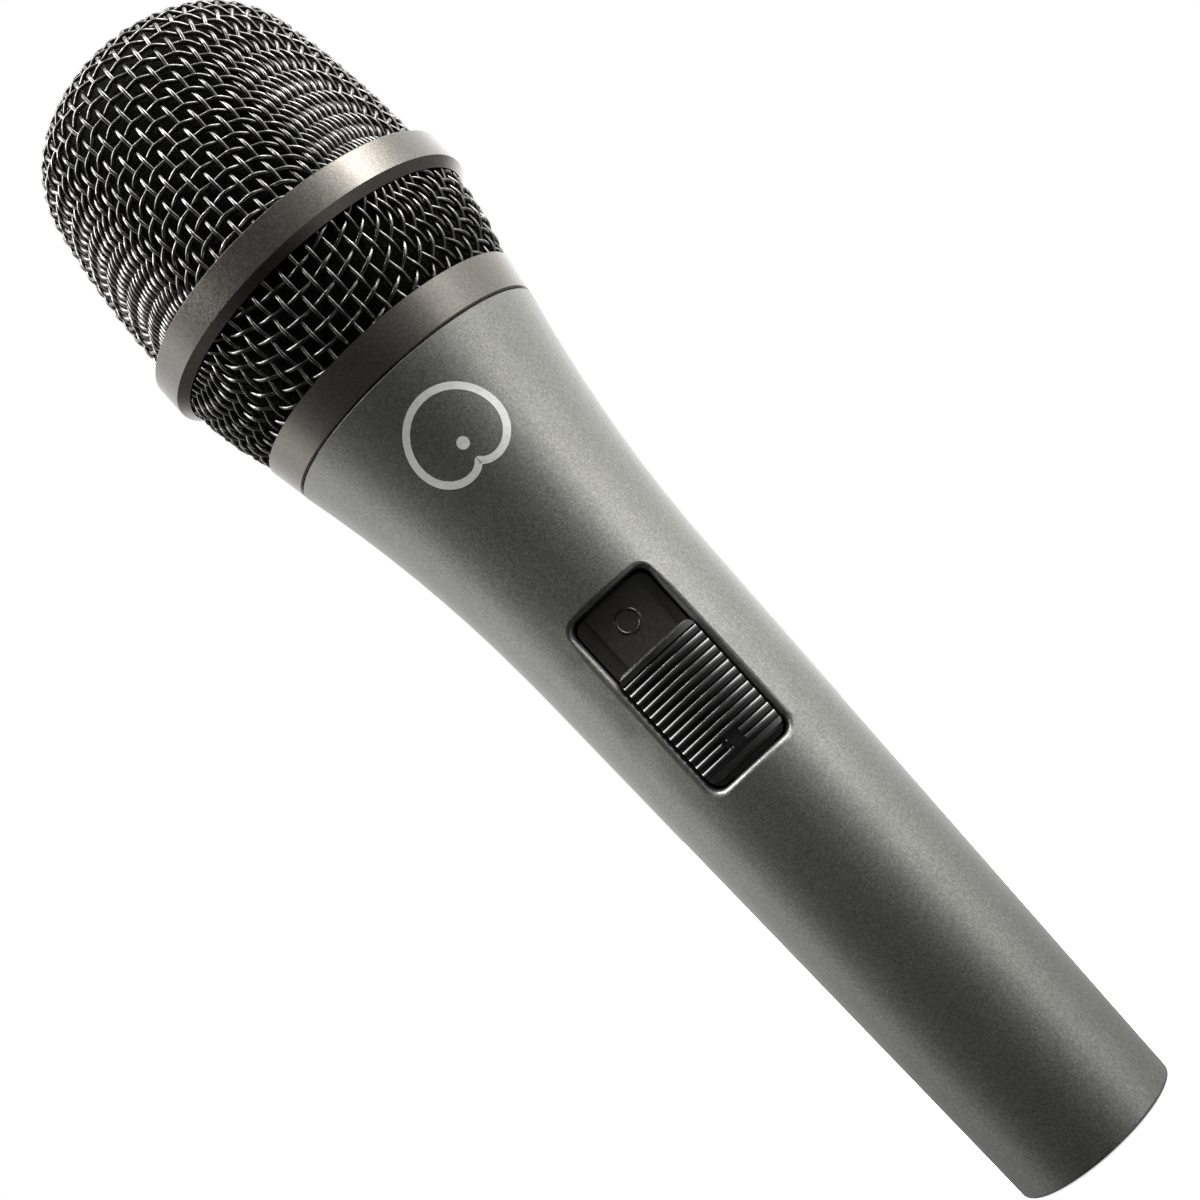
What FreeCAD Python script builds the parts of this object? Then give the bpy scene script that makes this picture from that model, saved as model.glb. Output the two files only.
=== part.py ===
import FreeCAD, Part
import os
from math import atan2, cos, hypot, pi, sin, sqrt, tan

# Handheld dynamic microphone, in millimetres.
# +Z runs along the axis from the tail to the head, the origin is the centre of the tail rim,
# and the switch faces -Y.

V = FreeCAD.Vector
AXIS = V(0, 0, 1)
TURN = 360
FIT_GAP = 0.05          # between pieces that are assembled and never move
RUN_GAP = 0.15          # between pieces that slide past each other
CUT_OVER = 1.0          # how far a cutter runs past what it cuts
STRAIGHT = 0.9          # share of an edge's direction that counts as lying along an axis

# Handle: a straight cone, then a flare that is tangent to it
TAIL_R = 12.45
TAIL_EDGE_R = 0.4
CONE_TOP_Z = 90.0
CONE_TOP_R = 15.06
SHOULDER_Z = 131.85
SHOULDER_R = 20.66
SHOULDER_CHAMFER = 0.2
NECK_R = 18.0
NECK_TOP_Z = 136.8
NECK_BORE_R = 16.0
NECK_CHAMFER = 0.5
SEAT_Z = 119.0          # where the neck's bore begins
WAIST_Z = 108.0
WAIST_BORE_R = 14.4
CAVITY_Z = 22.0
CAVITY_R = 10.7
CONE_BORE_R = 13.0

# Grille: collar, lower wire band, belt ring, wire dome
COLLAR_GAP = 0.15
COLLAR_TOP_Z = 137.4
COLLAR_TOP_R = 21.72
COLLAR_BORE_R = 18.6
COLLAR_LEDGE_Z = 136.0
COLLAR_LIP_R = 21.45
COLLAR_LIP_ROOT_R = 21.0
COLLAR_LEDGE_R = 19.4
BORE_TOP_Z = 135.2
RECESS_R = 19.75
RECESS_TOP_Z = 132.6
WASHER_IN_R = 18.15
WIRE_CLOTH_T = 1.1      # two crossing wires
BAND_FOOT_R = 20.7
BAND_MID_Z = 141.0
BAND_MID_R = 22.6
BELT_BOTTOM_Z = 150.4
BAND_TOP_R = 24.2
BELT_LOWER_BORE_R = 24.3
BELT_R = 25.5
BELT_CHAMFER_Z = 151.55
BELT_TOP_Z = 156.2
BELT_EDGE = 0.2
BELT_UPPER_BORE_R = 23.8
FLANGE_R = 22.6
FLANGE_BOTTOM_Z = 153.3
FLANGE_TOP_Z = 154.35
DOME_TOP_Z = 195.74
DOME_CROWN_R = 27.67
DOME_CROWN_ANGLE = 0.601
DOME_SHOULDER_R = 14.04
DOME_SHOULDER_ANGLE = 1.379
DOME_SIDE_R = 121.5

# Foam liners
FOAM_GAP = 0.15
DOME_FOAM_T = 3.0
BAND_FOAM_T = 1.8
BAND_FOAM_BOTTOM_Z = 137.3
BAND_CORE_R = 0.5

# Slide switch
WINDOW_HALF_X = 6.3
WINDOW_Z = (64.9, 93.2)
WINDOW_CORNER_R = 1.6
WINDOW_EDGE_R = 0.8
SKIN_SEARCH = 0.25      # how near an edge lies to the skin to count as the window's rim
WINDOW_DEPTH_Y = -9.0
OUTSIDE_Y = -30.0
SLIDER_HALF_X = 6.15
SLIDER_Z = (66.0, 84.15)
SLIDER_BACK_Y = -12.05
SLIDER_BELOW_SKIN = 0.1
SLIDER_CORNER_R = 1.1
SLIDER_END_SLOPE = 0.35
SLIDER_END_DROP = 0.4
SLIDER_CUT = 3.0
RIDGES = 13
RIDGE_PITCH = 1.225
RIDGE_FIRST_Z = 67.7
CREST_DEPTH = 0.02      # the ridges' round crests lie just under the button's front
VALLEY_DEPTH = 0.43
POCKET_X = (-0.85, 1.15)
POCKET_Z = (67.7, 70.0)
POCKET_DEPTH = 0.6
POINTER = ((-1.0, 67.75), (-1.0, 69.95), (-1.9, 69.1))   # three-cornered pocket beside the square one
PLATE_HALF_X = 6.0
PLATE_Z = (65.2, 92.9)
PLATE_Y = (-11.9, -10.9)
PANEL_X = (-3.9, 4.5)   # the raised middle of the plate; the legends stand on it
PANEL_STEP = 0.35
TAB_HALF_X = 3.5
TAB_Y = (-11.3, -10.3)
TAB_Z = (62.3, 95.8)
SCREW_Z = (63.7, 94.5)
SCREW_R = 0.8
SCREW_HOLE_R = 0.85
SCREW_HOLE_SKIN = 0.3
SCREW_TIP_GAP = 0.1
SCREW_HEAD_R = 1.5
SCREW_HEAD_Y = (-9.0, -8.1)
TONGUE_HALF_X = 1.2
TONGUE_Z = (70.2, 73.8)
SLOT_HALF_X = 1.5
SLOT_Z = (69.9, 82.0)
CASE_HALF_X = 5.0
CASE_Y = (-10.3, -3.5)
CASE_Z = (66.0, 92.0)
CASE_WALL = 0.9
CASE_FLANGE_Y = (-10.3, -9.0)
BRIDGE_HALF_X = 3.2
BRIDGE_Y = (-7.4, -6.6)
BRIDGE_Z = (69.0, 75.0)
LEAF_Y = -5.75
LEAF_T = 0.25
LEAF_BOW = 0.45
LEAF_Z = (68.0, 90.0)
LEAF_HALF_X = 2.0
LUG_Z = (71.0, 79.0, 87.0)
LUG_HALF_X = 0.8
LUG_T = 0.5
LUG_Y = (-3.5, -0.9)
LUG_HOLE_R = 0.4

# Three-pin male connector in the tail
SHELL_OUT_R = 9.55
SHELL_IN_R = 8.05
SHELL_Z = (0.6, 21.9)
TAIL_BORE_R = 9.6
INSERT_Z = (15.5, 21.5)
INSERT_R = 8.0
LATCH_HALF_X = 2.1
LATCH_Z = (4.6, 8.2)
PIN_R = 1.195
PIN_ROOT_R = 1.35       # where the insert grips it
PIN_TIP_Z = 2.0
PIN_NOSE = 0.8
PIN_PLACES = ((-3.81, 1.4), (3.81, 1.4), (0.0, -3.9))
CUP_R = 1.4
CUP_TOP_Z = 26.0
CUP_BORE_R = 0.9
CUP_BORE_DEPTH = 2.6
SET_SCREW_Y = 5.6
SET_SCREW_R = 1.0
SET_SCREW_Z = (15.2, 21.0)
SET_SCREW_SLOT = 0.35
SET_SCREW_SLOT_DEPTH = 0.8
EARTH_Z = (22.6, 30.0)
EARTH_OUT_R = 10.55
EARTH_IN_R = 10.2
EARTH_HALF_ANGLE = 32.0

# Moving-coil cartridge on its rubber mount
MOUNT_OUT_R = 15.9
MOUNT_IN_R = 11.6
MOUNT_Z = (119.3, 134.5)
MOUNT_WEB = 1.6
MOUNT_TOP_GAP = 0.6
STEM_R = 11.45
STEM_BOTTOM_Z = 117.0
STEM_FLOOR = 1.5
STEM_BORE_R = 9.6
HEAD_R = 15.5
HEAD_Z = (134.6, 149.6)
YOKE_SEAT_Z = 137.0
YOKE_SEAT_R = 11.1
YOKE_R = 11.05
YOKE_WALL_R = 9.8
YOKE_FLOOR = 1.8
GAP_OUT_R = 8.6
GAP_TOP_Z = 144.8
GAP_HEIGHT = 1.8
YOKE_NECK_DROP = 0.8
MAGNET_R = 7.0
POLE_R = 7.6
COIL_IN_R = 7.9
COIL_OUT_R = 8.3
COIL_Z = (142.6, 147.0)
BASKET_Z = 145.2
RIM_LEDGE_Z = 147.0
RIM_LEDGE_R = 13.0
RIM_R = 14.3
FILM_T = 0.15
FILM_CROWN = 1.75
ROLL_HEIGHT = 0.9
SCREEN_T = 0.3
SCREEN_R = 15.3
CAP_Z = (150.0, 154.2)
CAP_SHELF_Z = 152.6
CAP_CAVITY_R = 13.6
CAP_CHAMFER = 1.2
CAP_HOLE_R = 1.7
CAP_HOLE_PCD_R = 8.5
CAP_HOLES = 6
BACKPLATE_R = 9.0
BACKPLATE_Z = (115.6, 117.0)
TERMINAL_X = 4.0
TERMINAL_HALF_X = 0.9
TERMINAL_T = 0.4
TERMINAL_Z = (110.8, 115.6)

LEAD_R = 0.65
LEAD_BEND_R = 4.0
LEAD_RISE = 14.0        # straight run above a solder cup
LEAD_APPROACH = 16.0    # straight run below a lug of the switch
LEAD_OVERLAP = 1.0      # how far a lead lies beside its lug
LEAD_ABOVE_CASE = 2.0
LEAD_BELOW_BACKPLATE = 6.0
LEAD_ON_TERMINAL = 2.0


def at(r, z):
    """A point of an outline that is turned about the axis."""
    return V(r, 0, z)


def line(a, b):
    return Part.makeLine(a, b)


def arc_about(centre, radius, start, end):
    """An arc about a centre; its angles start at +Z and open away from the axis."""
    points = [centre + V(radius * sin(a), 0, radius * cos(a)) for a in (start, (start + end) / 2, end)]
    return Part.Arc(*points).toShape()


def spun(edges):
    """Turn a closed outline about the axis into a solid."""
    solid = Part.Face(Part.Wire(edges)).revolve(V(0, 0, 0), AXIS, TURN)
    if solid.Volume < 0:
        solid.reverse()
    return solid


def turned(*outline):
    """Turn a closed outline of straight lines, given as (r, z) pairs."""
    points = [at(r, z) for r, z in outline]
    return spun([line(a, b) for a, b in zip(points, points[1:] + points[:1])])


def tube(inner, outer, low, high):
    return turned((inner, low), (outer, low), (outer, high), (inner, high))


def rod(r, low, high, x=0.0, y=0.0):
    return Part.makeCylinder(r, high - low, V(x, y, low), AXIS)


def slab(x_span, y_span, z_span):
    """A box between three pairs of planes."""
    sides = [high - low for low, high in (x_span, y_span, z_span)]
    return Part.makeBox(*sides, V(x_span[0], y_span[0], z_span[0]))


def block(half_x, y_span, z_span):
    """A box centred on x = 0."""
    return slab((-half_x, half_x), y_span, z_span)


def cross_rod(r, y_span, z, x=0.0):
    """A rod that lies along Y."""
    return Part.makeCylinder(r, y_span[1] - y_span[0], V(x, y_span[0], z), V(0, 1, 0))


def rounded_window(half_x, z_span, corner, y_span):
    """A prism along Y with rounded corners."""
    box = block(half_x, y_span, z_span)
    uprights = [e for e in box.Edges if abs(e.tangentAt(e.FirstParameter).y) > STRAIGHT]
    return box.makeFillet(corner, uprights)


def taper_angle():
    return atan2(CONE_TOP_R - TAIL_R, CONE_TOP_Z)


def flare_edge(inset=0.0):
    """The flare, tangent to the cone at its foot; inset moves it towards the axis."""
    foot = at(CONE_TOP_R - inset, CONE_TOP_Z)
    top = at(SHOULDER_R - inset, SHOULDER_Z - SHOULDER_CHAMFER)
    rise = top - foot
    bend = atan2(rise.x, rise.z) - taper_angle()
    sagitta = rise.Length / 2 * tan(bend / 2)
    normal = V(rise.z, 0, -rise.x).normalize()
    middle = (foot + top) / 2 - normal * sagitta
    return Part.Arc(foot, middle, top).toShape()


def skin_solid(inset):
    """Everything inside the handle's outer surface, less an inset."""
    flare = flare_edge(inset)
    foot, top = flare.Vertexes[0].Point, flare.Vertexes[-1].Point
    start = at(TAIL_R - inset, 0)
    edges = [line(at(0, 0), start), line(start, foot), flare]
    edges += [line(top, at(0, top.z)), line(at(0, top.z), at(0, 0))]
    return spun(edges)


def handle_blank():
    """The casting before its window is cut."""
    flare = flare_edge()
    foot, top = flare.Vertexes[0].Point, flare.Vertexes[-1].Point
    edge_in = at(TAIL_R - TAIL_EDGE_R, 0)
    edge_out = at(TAIL_R + TAIL_EDGE_R * tan(taper_angle()), TAIL_EDGE_R)
    corner = at(TAIL_R - TAIL_EDGE_R * (1 - sin(pi / 4)), TAIL_EDGE_R * (1 - cos(pi / 4)))
    outside = [Part.Arc(edge_in, corner, edge_out).toShape(), line(edge_out, foot), flare]
    rest = [top, at(SHOULDER_R - SHOULDER_CHAMFER, SHOULDER_Z), at(NECK_R, SHOULDER_Z)]
    rest += [at(NECK_R, NECK_TOP_Z - NECK_CHAMFER), at(NECK_R - NECK_CHAMFER, NECK_TOP_Z)]
    rest += [at(NECK_BORE_R, NECK_TOP_Z), at(NECK_BORE_R, SEAT_Z), at(WAIST_BORE_R, WAIST_Z)]
    rest += [at(CONE_BORE_R, CONE_TOP_Z), at(CAVITY_R, CAVITY_Z), at(TAIL_BORE_R, CAVITY_Z)]
    rest += [at(TAIL_BORE_R, 0), edge_in]
    return spun(outside + [line(a, b) for a, b in zip(rest, rest[1:])])


def on_skin(edge):
    """True for an edge of the window that lies on the handle's outer surface."""
    middle = edge.valueAt((edge.FirstParameter + edge.LastParameter) / 2)
    skin = TAIL_R + middle.z * tan(taper_angle())
    in_height = WINDOW_Z[0] - SKIN_SEARCH < middle.z < WINDOW_Z[1] + SKIN_SEARCH
    in_width = abs(middle.x) < WINDOW_HALF_X + SKIN_SEARCH and middle.y < 0
    return in_height and in_width and abs(hypot(middle.x, middle.y) - skin) < SKIN_SEARCH


def handle_body():
    window = rounded_window(WINDOW_HALF_X, WINDOW_Z, WINDOW_CORNER_R, (OUTSIDE_Y, WINDOW_DEPTH_Y))
    body = handle_blank().cut(window)
    rim = [e for e in body.Edges if on_skin(e)]
    return body.makeFillet(WINDOW_EDGE_R, rim)


def connector_shell():
    """Liner of the tail socket, with the notch that a plug's latch drops into."""
    liner = tube(SHELL_IN_R, SHELL_OUT_R, *SHELL_Z)
    notch = block(LATCH_HALF_X, (SHELL_IN_R - CUT_OVER, SHELL_OUT_R + CUT_OVER), LATCH_Z)
    return liner.cut(notch)


def connector_insert():
    """Insulating disc that holds the three pins and the set screw."""
    disc = rod(INSERT_R, *INSERT_Z)
    for x, y in PIN_PLACES:
        disc = disc.cut(rod(PIN_ROOT_R, INSERT_Z[0], INSERT_Z[1], x, y))
    return disc.cut(rod(SET_SCREW_R, INSERT_Z[0], SET_SCREW_Z[1], 0, SET_SCREW_Y))


def connector_pins():
    """Three contacts: a rounded pin below the insert and a solder cup above it."""
    pins = []
    for x, y in PIN_PLACES:
        pin = rod(PIN_R, PIN_TIP_Z, INSERT_Z[0], x, y)
        tip = [e for e in pin.Edges if e.BoundBox.ZMax < PIN_TIP_Z + FIT_GAP]
        root = rod(PIN_ROOT_R, INSERT_Z[0], INSERT_Z[1], x, y)
        cup = rod(CUP_R, INSERT_Z[1], CUP_TOP_Z, x, y)
        cup = cup.cut(rod(CUP_BORE_R, CUP_TOP_Z - CUP_BORE_DEPTH, CUP_TOP_Z, x, y))
        pins.append(pin.makeFillet(PIN_NOSE, tip).fuse([root, cup]).removeSplitter())
    return Part.makeCompound([p.Solids[0] for p in pins])


def connector_screw():
    screw = rod(SET_SCREW_R, SET_SCREW_Z[0], SET_SCREW_Z[1], 0, SET_SCREW_Y)
    slot_y = (SET_SCREW_Y - SET_SCREW_SLOT / 2, SET_SCREW_Y + SET_SCREW_SLOT / 2)
    slot_z = (SET_SCREW_Z[0] - CUT_OVER, SET_SCREW_Z[0] + SET_SCREW_SLOT_DEPTH)
    return screw.cut(block(2 * SET_SCREW_R, slot_y, slot_z))


def ground_spring():
    """Curved strip that earths the handle, pressed against its wall above the connector."""
    height = EARTH_Z[1] - EARTH_Z[0]
    sector = Part.makeCylinder(EARTH_OUT_R, height, V(0, 0, EARTH_Z[0]), AXIS, 2 * EARTH_HALF_ANGLE)
    strip = sector.cut(rod(EARTH_IN_R, EARTH_Z[0] - CUT_OVER, EARTH_Z[1] + CUT_OVER))
    strip.rotate(V(0, 0, 0), AXIS, TURN / 4 - EARTH_HALF_ANGLE)
    return strip


def switch_frame():
    """Legend plate in the window: a raised middle panel, and a tab at each end that carries a screw."""
    plate = rounded_window(PLATE_HALF_X, PLATE_Z, WINDOW_CORNER_R, PLATE_Y)
    step_y = (PLATE_Y[0] - CUT_OVER, PLATE_Y[0] + PANEL_STEP)
    for strip_x in ((-PLATE_HALF_X, PANEL_X[0]), (PANEL_X[1], PLATE_HALF_X)):
        plate = plate.cut(slab(strip_x, step_y, PLATE_Z))
    plate = plate.fuse(block(TAB_HALF_X, TAB_Y, TAB_Z))
    plate = plate.cut(block(SLOT_HALF_X, (PLATE_Y[0] - CUT_OVER, TAB_Y[1] + CUT_OVER), SLOT_Z))
    for z in SCREW_Z:
        plate = plate.cut(cross_rod(SCREW_HOLE_R, (TAB_Y[0] + SCREW_HOLE_SKIN, TAB_Y[1] + CUT_OVER), z))
    return plate.removeSplitter()


def switch_housing():
    """Case of the slide switch, open towards the tongue, with a flange at each end."""
    case = block(CASE_HALF_X, CASE_Y, CASE_Z).fuse(block(TAB_HALF_X, CASE_FLANGE_Y, TAB_Z))
    inner_y = (CASE_Y[0] + CASE_WALL, CASE_Y[1] - CASE_WALL)
    inner_z = (CASE_Z[0] + CASE_WALL, CASE_Z[1] - CASE_WALL)
    case = case.cut(block(CASE_HALF_X - CASE_WALL, inner_y, inner_z))
    case = case.cut(block(SLOT_HALF_X, (CASE_Y[0] - CUT_OVER, inner_y[0] + CUT_OVER), SLOT_Z))
    hole_y = (CASE_FLANGE_Y[0] - CUT_OVER, CASE_FLANGE_Y[1] + CUT_OVER)
    for z in SCREW_Z:
        case = case.cut(cross_rod(SCREW_HOLE_R, hole_y, z))
    return case.removeSplitter()


def switch_screws():
    screws = []
    for z in SCREW_Z:
        shank = cross_rod(SCREW_R, (TAB_Y[0] + SCREW_HOLE_SKIN + SCREW_TIP_GAP, SCREW_HEAD_Y[0]), z)
        head = cross_rod(SCREW_HEAD_R, SCREW_HEAD_Y, z)
        screws.append(shank.fuse(head).removeSplitter().Solids[0])
    return Part.makeCompound(screws)


def switch_terminals():
    """Three solder lugs at the back of the case."""
    lugs = []
    for z in LUG_Z:
        lug = block(LUG_HALF_X, LUG_Y, (z - LUG_T / 2, z + LUG_T / 2))
        lug = lug.cut(rod(LUG_HOLE_R, z - LUG_T, z + LUG_T, 0, LUG_Y[1] - LUG_HALF_X))
        lugs.append(lug)
    return Part.makeCompound(lugs)


def switch_detent_spring():
    """Bowed leaf on the floor of the case."""
    middle_z = (LEAF_Z[0] + LEAF_Z[1]) / 2
    edges = []
    corners = []
    for y, ends in ((LEAF_Y, LEAF_Z), (LEAF_Y + LEAF_T, LEAF_Z[::-1])):
        start, end = V(-LEAF_HALF_X, y, ends[0]), V(-LEAF_HALF_X, y, ends[1])
        edges.append(Part.Arc(start, V(-LEAF_HALF_X, y - LEAF_BOW, middle_z), end).toShape())
        corners += [start, end]
    outline = Part.Wire([edges[0], line(corners[1], corners[2]), edges[1], line(corners[3], corners[0])])
    return Part.Face(outline).extrude(V(2 * LEAF_HALF_X, 0, 0))


def button_skin(z, depth=0.0):
    """Distance from the axis to the button's front, or to a depth under it, at a height."""
    return TAIL_R - SLIDER_BELOW_SKIN - depth + z * tan(taper_angle())


def slider_ends():
    """Cutters that slope both ends of the button down from the handle's surface."""
    low, high = SLIDER_Z
    cutters = []
    for z, way in ((low, 1), (high, -1)):
        skin = button_skin(z)
        inner = (skin - SLIDER_END_DROP, z - way * FIT_GAP)
        crest = (skin + way * SLIDER_END_SLOPE * tan(taper_angle()), z + way * SLIDER_END_SLOPE)
        outer_r = crest[0] + SLIDER_CUT
        cutters.append(turned(inner, crest, (outer_r, crest[1]), (outer_r, inner[1])))
    return cutters


def ridge_cutter():
    """Takes everything outside a row of round ridges that meet in sharp valleys."""
    crests = []
    valleys = []
    for i in range(RIDGES + 1):
        crest_z = RIDGE_FIRST_Z + i * RIDGE_PITCH
        valley_z = crest_z - RIDGE_PITCH / 2
        crests.append(at(button_skin(crest_z, CREST_DEPTH), crest_z))
        valleys.append(at(button_skin(valley_z, VALLEY_DEPTH), valley_z))
    edges = [Part.Arc(*points).toShape() for points in zip(valleys, crests, valleys[1:])]
    over = at(button_skin(RIDGE_FIRST_Z) + SLIDER_CUT, valleys[0].z)
    top = at(over.x, valleys[-1].z)
    edges += [line(valleys[-1], top), line(top, over), line(over, valleys[0])]
    return spun(edges)


def pocket(outline):
    """A pocket of any outline near the button's lower end, with a flat floor."""
    floor_y = POCKET_DEPTH - button_skin(POCKET_Z[0])
    points = [V(x, OUTSIDE_Y, z) for x, z in outline]
    face = Part.Face(Part.makePolygon(points + points[:1]))
    return face.extrude(V(0, floor_y - OUTSIDE_Y, 0))


def switch_slider():
    """Button that follows the handle's surface, with thirteen ridges for the thumb and an arrow-like index mark."""
    plan = rounded_window(SLIDER_HALF_X, SLIDER_Z, SLIDER_CORNER_R, (OUTSIDE_Y, SLIDER_BACK_Y))
    button = plan.common(skin_solid(SLIDER_BELOW_SKIN))
    for cutter in slider_ends():
        button = button.cut(cutter)
    button = button.cut(ridge_cutter())
    (left, right), (low, high) = POCKET_X, POCKET_Z
    for outline in (((left, low), (right, low), (right, high), (left, high)), POINTER):
        button = button.cut(pocket(outline))
    return button


def switch_tongue():
    """Post under the button that carries the contact bridge."""
    return block(TONGUE_HALF_X, (SLIDER_BACK_Y, BRIDGE_Y[0]), TONGUE_Z)


def contact_bridge():
    return block(BRIDGE_HALF_X, BRIDGE_Y, BRIDGE_Z)


def shock_mount():
    """Rubber sleeve with a thin middle web, between the handle's bore and the cartridge."""
    low, high = MOUNT_Z
    third = (high - low) / 3
    web_r = (MOUNT_IN_R + MOUNT_OUT_R) / 2
    top_r = MOUNT_OUT_R - MOUNT_TOP_GAP
    outline = [(MOUNT_IN_R, low + third), (MOUNT_IN_R, high), (top_r, high)]
    outline += [(top_r, high - MOUNT_WEB), (web_r, high - MOUNT_WEB)]
    outline += [(web_r, low + third + MOUNT_WEB), (MOUNT_OUT_R, low + third + MOUNT_WEB)]
    outline += [(MOUNT_OUT_R, low), (MOUNT_OUT_R - MOUNT_WEB, low), (MOUNT_OUT_R - MOUNT_WEB, low + third)]
    return turned(*outline)


def cartridge_housing():
    """Stem held by the rubber, and a wider head that carries the motor and the film's rim."""
    outline = [(0, STEM_BOTTOM_Z), (STEM_R, STEM_BOTTOM_Z), (STEM_R, HEAD_Z[0]), (HEAD_R, HEAD_Z[0])]
    outline += [(HEAD_R, HEAD_Z[1]), (RIM_R, HEAD_Z[1]), (RIM_R, RIM_LEDGE_Z), (RIM_LEDGE_R, RIM_LEDGE_Z)]
    outline += [(RIM_LEDGE_R, BASKET_Z), (YOKE_SEAT_R, BASKET_Z), (YOKE_SEAT_R, YOKE_SEAT_Z)]
    outline += [(STEM_BORE_R, YOKE_SEAT_Z), (STEM_BORE_R, STEM_BOTTOM_Z + STEM_FLOOR)]
    outline += [(0, STEM_BOTTOM_Z + STEM_FLOOR)]
    return turned(*outline)


def cartridge_cap():
    """Resonator cap over the diaphragm, with one hole in the middle and a ring of six."""
    low, high = CAP_Z
    outline = [(0, CAP_SHELF_Z), (CAP_CAVITY_R, CAP_SHELF_Z), (CAP_CAVITY_R, low), (HEAD_R, low)]
    outline += [(HEAD_R, high - CAP_CHAMFER), (HEAD_R - CAP_CHAMFER, high), (0, high)]
    cap = turned(*outline).cut(rod(CAP_HOLE_R, low, high + CUT_OVER))
    for i in range(CAP_HOLES):
        angle = 2 * pi * i / CAP_HOLES
        x, y = CAP_HOLE_PCD_R * cos(angle), CAP_HOLE_PCD_R * sin(angle)
        cap = cap.cut(rod(CAP_HOLE_R, low, high + CUT_OVER, x, y))
    return cap


def cartridge_screen():
    return rod(SCREEN_R, HEAD_Z[1] + FIT_GAP, HEAD_Z[1] + FIT_GAP + SCREEN_T)


def cartridge_backplate():
    return rod(BACKPLATE_R, *BACKPLATE_Z)


def cartridge_terminals():
    """Two flat solder lugs under the backplate."""
    lugs = []
    for side in (-1, 1):
        lug = block(TERMINAL_HALF_X, (-TERMINAL_T / 2, TERMINAL_T / 2), TERMINAL_Z)
        lug.translate(V(side * TERMINAL_X, 0, 0))
        lugs.append(lug)
    return Part.makeCompound(lugs)


def magnet_yoke():
    """Steel cup that closes the magnet's field round the coil."""
    floor_z = YOKE_SEAT_Z + FIT_GAP
    outline = [(0, floor_z), (YOKE_R, floor_z), (YOKE_R, GAP_TOP_Z), (GAP_OUT_R, GAP_TOP_Z)]
    gap_z = GAP_TOP_Z - GAP_HEIGHT
    outline += [(GAP_OUT_R, gap_z), (YOKE_WALL_R, gap_z - YOKE_NECK_DROP)]
    outline += [(YOKE_WALL_R, floor_z + YOKE_FLOOR), (0, floor_z + YOKE_FLOOR)]
    return turned(*outline)


def magnet():
    return rod(MAGNET_R, YOKE_SEAT_Z + FIT_GAP + YOKE_FLOOR, GAP_TOP_Z - GAP_HEIGHT)


def pole_piece():
    return rod(POLE_R, GAP_TOP_Z - GAP_HEIGHT, GAP_TOP_Z)


def voice_coil():
    return tube(COIL_IN_R, COIL_OUT_R, *COIL_Z)


def diaphragm():
    """Thin domed film inside the coil's circle."""
    base = COIL_Z[1] + FIT_GAP
    rim, crown = at(COIL_OUT_R, base), at(0, base + FILM_CROWN)
    radius = (COIL_OUT_R ** 2 + FILM_CROWN ** 2) / (2 * FILM_CROWN)
    centre = at(0, base + FILM_CROWN - radius)
    half = atan2(COIL_OUT_R, base - centre.z)
    under = arc_about(centre, radius, half, 0)
    over = arc_about(centre, radius + FILM_T, 0, half)
    rim_over = over.Vertexes[-1].Point
    return spun([under, line(crown, crown + V(0, 0, FILM_T)), over, line(rim_over, rim)])


def diaphragm_surround():
    """Half-round roll that joins the film to its clamped rim, and bends as the film moves."""
    low = RIM_LEDGE_Z + FIT_GAP
    inner, outer = COIL_OUT_R + FIT_GAP + FILM_T, RIM_R - FIT_GAP
    edge = RIM_LEDGE_R
    middle = (inner + edge) / 2
    high = low + FILM_T
    under = Part.Arc(at(inner, low), at(middle, low + ROLL_HEIGHT), at(edge, low)).toShape()
    over = Part.Arc(at(edge, high), at(middle, high + ROLL_HEIGHT), at(inner, high)).toShape()
    rim = [line(at(edge, low), at(outer, low)), line(at(outer, low), at(outer, high))]
    rim.append(line(at(outer, high), at(edge, high)))
    return spun([under] + rim + [over, line(at(inner, high), at(inner, low))])


def grille_washer():
    """Fibre washer in the collar's recess, on the handle's shoulder."""
    return tube(WASHER_IN_R, RECESS_R - RUN_GAP, SHOULDER_Z + FIT_GAP, RECESS_TOP_Z - FIT_GAP)


def grille_collar():
    """Ring that screws onto the neck; a thin lip holds the lower wire band."""
    bottom = SHOULDER_Z + COLLAR_GAP
    outline = [(RECESS_R, bottom), (SHOULDER_R - SHOULDER_CHAMFER, bottom)]
    outline += [(SHOULDER_R + FIT_GAP, bottom + SHOULDER_CHAMFER), (COLLAR_TOP_R, COLLAR_TOP_Z)]
    outline += [(COLLAR_LIP_R, COLLAR_TOP_Z), (COLLAR_LIP_ROOT_R, COLLAR_LEDGE_Z)]
    outline += [(COLLAR_LEDGE_R, COLLAR_LEDGE_Z), (COLLAR_BORE_R, BORE_TOP_Z)]
    outline += [(COLLAR_BORE_R, RECESS_TOP_Z), (RECESS_R, RECESS_TOP_Z)]
    return turned(*outline)


def band_shell(inset_out, inset_in, low, high):
    """Part of the lower band's bowl, between two insets from its outer surface."""
    def outer_edge(inset):
        foot = at(BAND_FOOT_R - inset, COLLAR_LEDGE_Z)
        top = at(BAND_TOP_R - inset, BELT_BOTTOM_Z)
        return Part.Arc(foot, at(BAND_MID_R - inset, BAND_MID_Z), top).toShape(), foot, top

    outside, foot_out, top_out = outer_edge(inset_out)
    inside, foot_in, top_in = outer_edge(inset_in)
    end_out, end_in = at(top_out.x, high), at(top_in.x, high)
    edges = [outside, line(top_out, end_out), line(end_out, end_in), line(end_in, top_in), inside]
    full = spun(edges + [line(foot_in, foot_out)])
    return full.common(tube(BAND_CORE_R, BELT_R, low, high))


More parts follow.
